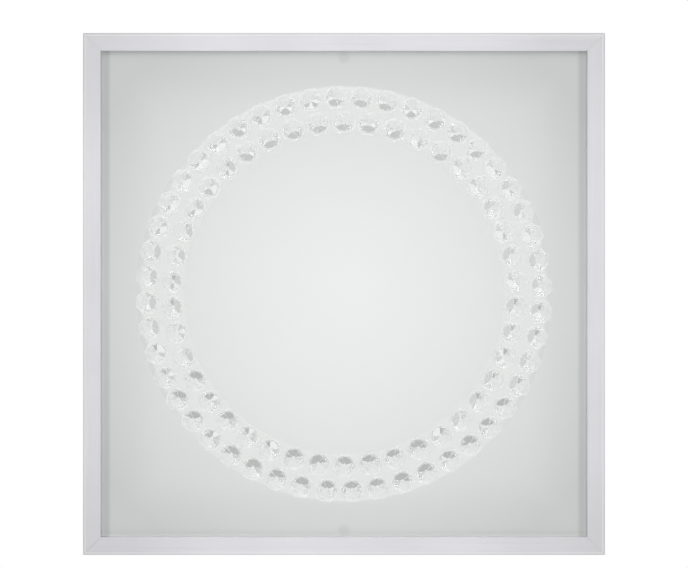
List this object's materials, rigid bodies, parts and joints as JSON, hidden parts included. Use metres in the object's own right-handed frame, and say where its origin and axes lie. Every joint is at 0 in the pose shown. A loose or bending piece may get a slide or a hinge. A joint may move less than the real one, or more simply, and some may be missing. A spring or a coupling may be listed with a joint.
{
  "type": "flush mount ceiling light",
  "caption": "Square flush mount ceiling light: mitred satin silver frame, frosted glass pane and rings of cut crystals, on a white pan with driver and LED board.",
  "frame": {"origin": "middle of the mounting plane, the pan's back face that lies on the ceiling", "axes": "+Z up into the ceiling; the lit face looks down -Z; seen from below with +X to the right, -Y is up"},
  "size_m": [0.29, 0.29, 0.06],
  "materials": {
    "satin_aluminium": "satin anodised, finely brushed along the rail",
    "plain_aluminium": "as extruded",
    "frosted_glass": "etched white, dull on its back and smooth in front",
    "crystal_glass": "clear and polished, cut with flat facets",
    "clear_band": "clear sheet, slightly milky",
    "white_enamel": "smooth white powder coat",
    "spring_steel": "bright spring steel",
    "zinc_steel": "bright zinc plate",
    "black_steel": "black oxide",
    "brass": "bright turned brass",
    "grey_rubber": "dull moulded rubber",
    "white_silicone": "soft white silicone strip",
    "white_plastic": "fine textured moulding",
    "clear_white_plastic": "milky gloss moulding",
    "green_laminate": "green solder mask on laminate",
    "white_mask": "white solder mask on aluminium core",
    "yellow_tape": "taped winding",
    "black_sleeve": "printed shrink sleeve left bare",
    "led_phosphor": "yellow phosphor in a white package",
    "brown_wire": "brown insulation",
    "blue_wire": "blue insulation",
    "earth_wire": "green insulation with yellow stripes",
    "red_wire": "red insulation",
    "black_wire": "black insulation"
  },
  "bodies": {
    "base": {"base_pan": "white_enamel", "cable_grommet": "grey_rubber", "spring_clips": "spring_steel", "spring_clip_rivets": "zinc_steel", "terminal_block": "white_plastic", "terminal_tubes": "brass", "terminal_clamp_screws": "zinc_steel", "terminal_block_screws": "zinc_steel", "earth_stud": "zinc_steel", "earth_washer": "zinc_steel", "earth_ring_terminal": "brass", "earth_nut": "zinc_steel", "driver_base": "white_plastic", "driver_case": "white_plastic", "driver_circuit_board": "green_laminate", "driver_transformer": "yellow_tape", "driver_capacitors": "black_sleeve", "driver_input_terminal": "clear_white_plastic", "driver_output_terminal": "clear_white_plastic", "driver_screws": "zinc_steel", "tray_pillars": "zinc_steel", "reflector_tray": "white_enamel", "tray_screws": "zinc_steel", "tray_grommet": "grey_rubber", "led_board": "white_mask", "led_board_screws": "zinc_steel", "leds": "led_phosphor", "led_connector": "clear_white_plastic", "wire_live": "brown_wire", "wire_neutral": "blue_wire", "wire_earth": "earth_wire", "led_lead_negative": "black_wire", "led_lead_positive": "red_wire"},
    "cover": {"frame_rail_front": "satin_aluminium", "frame_rail_right": "satin_aluminium", "frame_rail_back": "satin_aluminium", "frame_rail_left": "satin_aluminium", "corner_key_back_right": "plain_aluminium", "corner_key_back_left": "plain_aluminium", "corner_key_front_left": "plain_aluminium", "corner_key_front_right": "plain_aluminium", "corner_key_screws": "black_steel", "glass_pane": "frosted_glass", "glass_gasket": "white_silicone", "glazing_bead_right": "plain_aluminium", "glazing_bead_left": "plain_aluminium", "crystal_band": "clear_band", "crystals_outer_row": "crystal_glass", "crystals_inner_row": "crystal_glass", "clip_block_front": "plain_aluminium", "clip_block_back": "plain_aluminium", "turn_clip_screw_front": "zinc_steel", "turn_clip_screw_back": "zinc_steel", "clip_block_screws": "zinc_steel"},
    "clip_front": {"turn_clip_front": "spring_steel"},
    "clip_back": {"turn_clip_back": "spring_steel"}
  },
  "joints": [
    {"name": "cover_slide", "type": "slide", "parent": "base", "child": "cover", "axis": [0, 0, -1], "range_m": [0, 0.06]},
    {"name": "clip_front_turn", "type": "hinge", "parent": "cover", "child": "clip_front", "pos_m": [0, -0.14045, -0.0487], "axis": [0, 0, 1], "range_deg": [0, 90]},
    {"name": "clip_back_turn", "type": "hinge", "parent": "cover", "child": "clip_back", "pos_m": [0, 0.14045, -0.0487], "axis": [0, 0, 1], "range_deg": [0, 90]}
  ]
}
